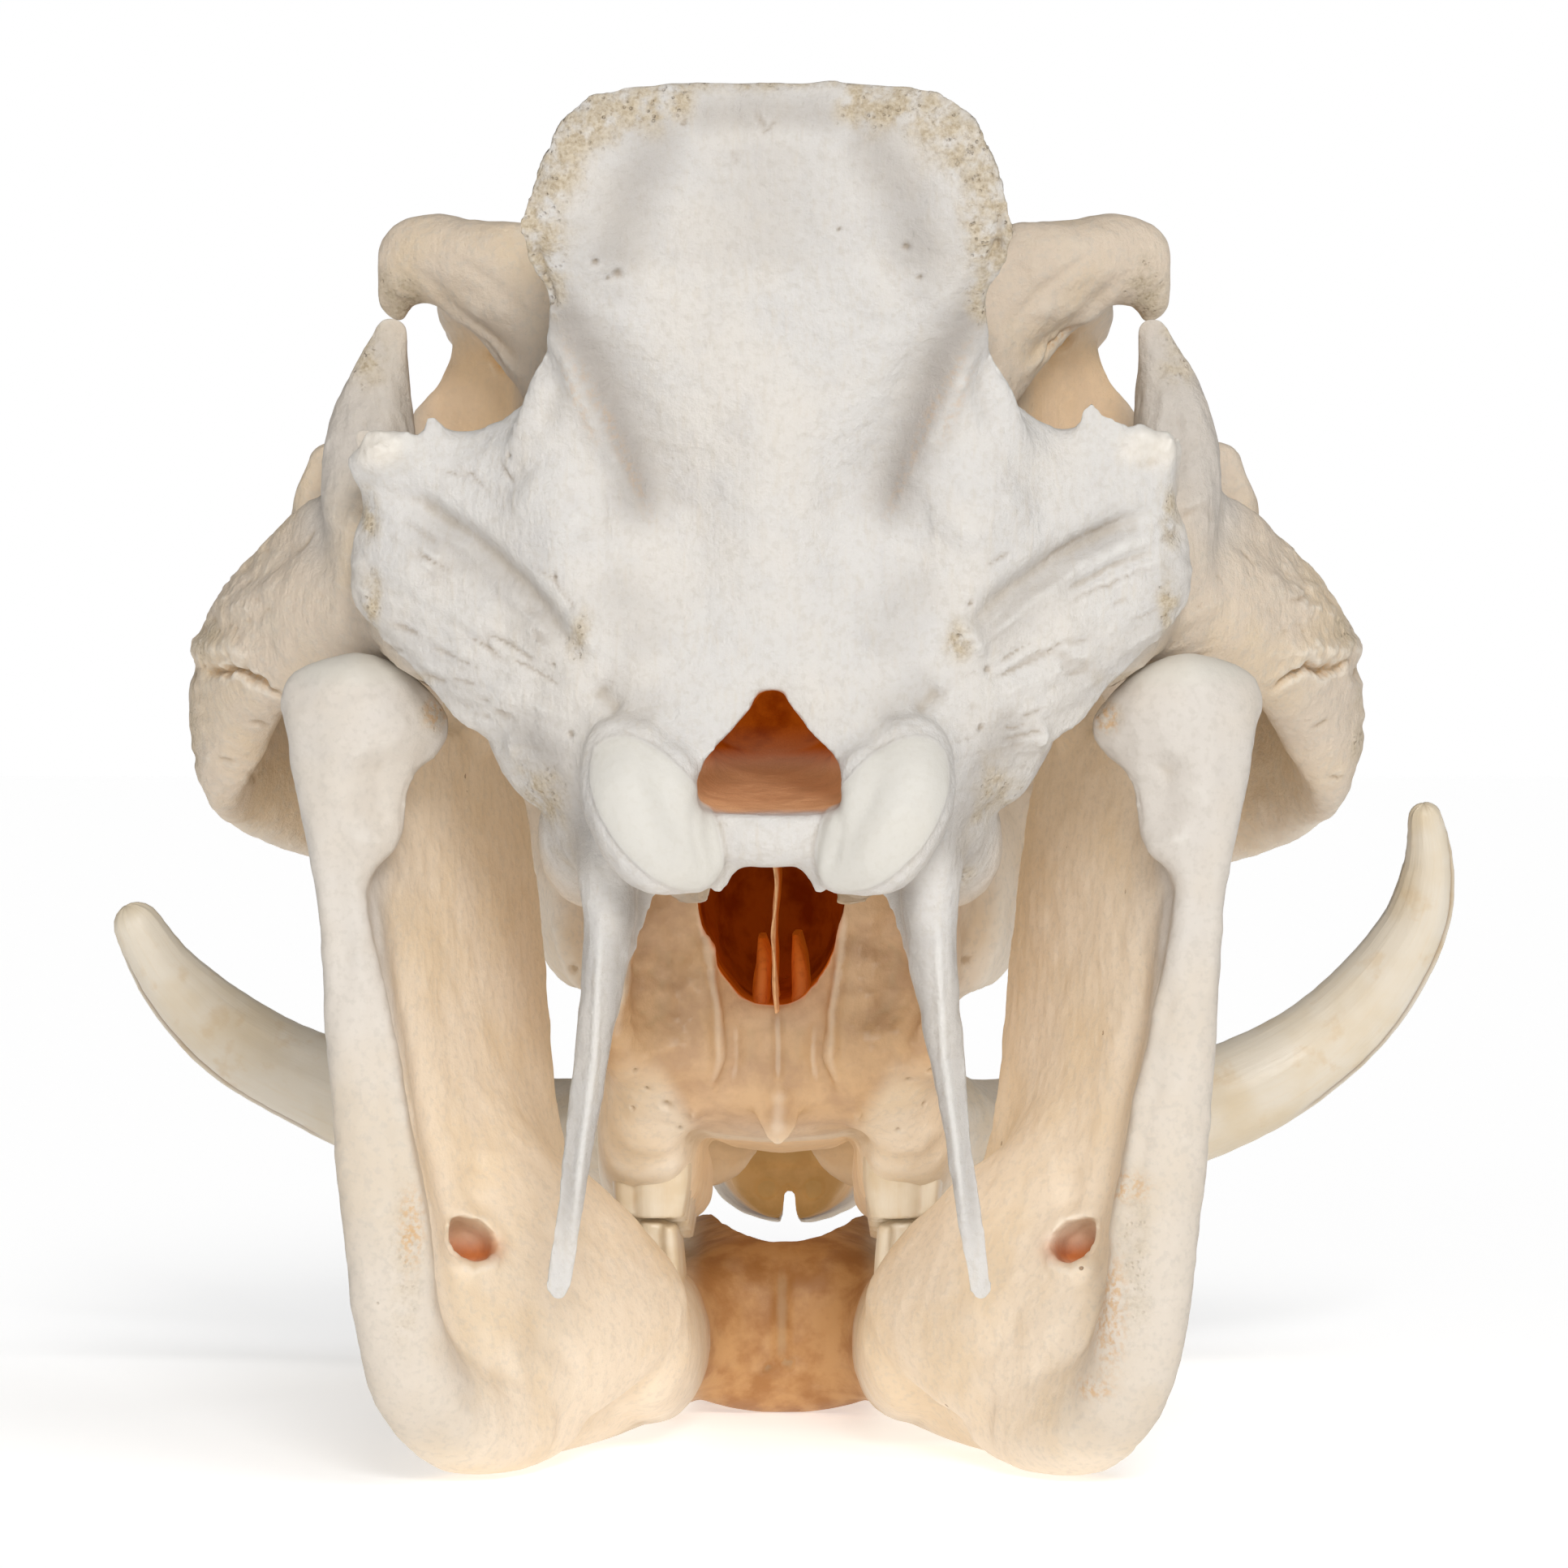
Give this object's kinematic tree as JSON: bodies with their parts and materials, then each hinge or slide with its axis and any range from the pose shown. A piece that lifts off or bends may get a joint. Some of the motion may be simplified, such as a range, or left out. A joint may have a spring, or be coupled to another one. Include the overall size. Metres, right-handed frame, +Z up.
{
  "type": "warthog skull",
  "caption": "Life-size warthog skull with lower jaw closed and curved tusks, resting on its lower jaw; a still museum-type model for display and study.",
  "frame": {"origin": "centre of the bounding box on the floor that the lower jaw rests on", "axes": "+Y from the back of the head to the snout, +Z up from the floor, +X to the right of someone standing behind the head"},
  "size_m": [0.2768, 0.3527, 0.2526],
  "materials": {
    "bone": "matt cream bone, cooler grey white at the back of the head",
    "ivory": "satin ivory with a dark lengthwise line"
  },
  "bodies": {
    "root": {"cranium": "bone", "mandible": "bone", "upper_tusk_right": "ivory", "upper_tusk_left": "ivory", "lower_tusk_right": "ivory", "lower_tusk_left": "ivory"}
  },
  "joints": []
}
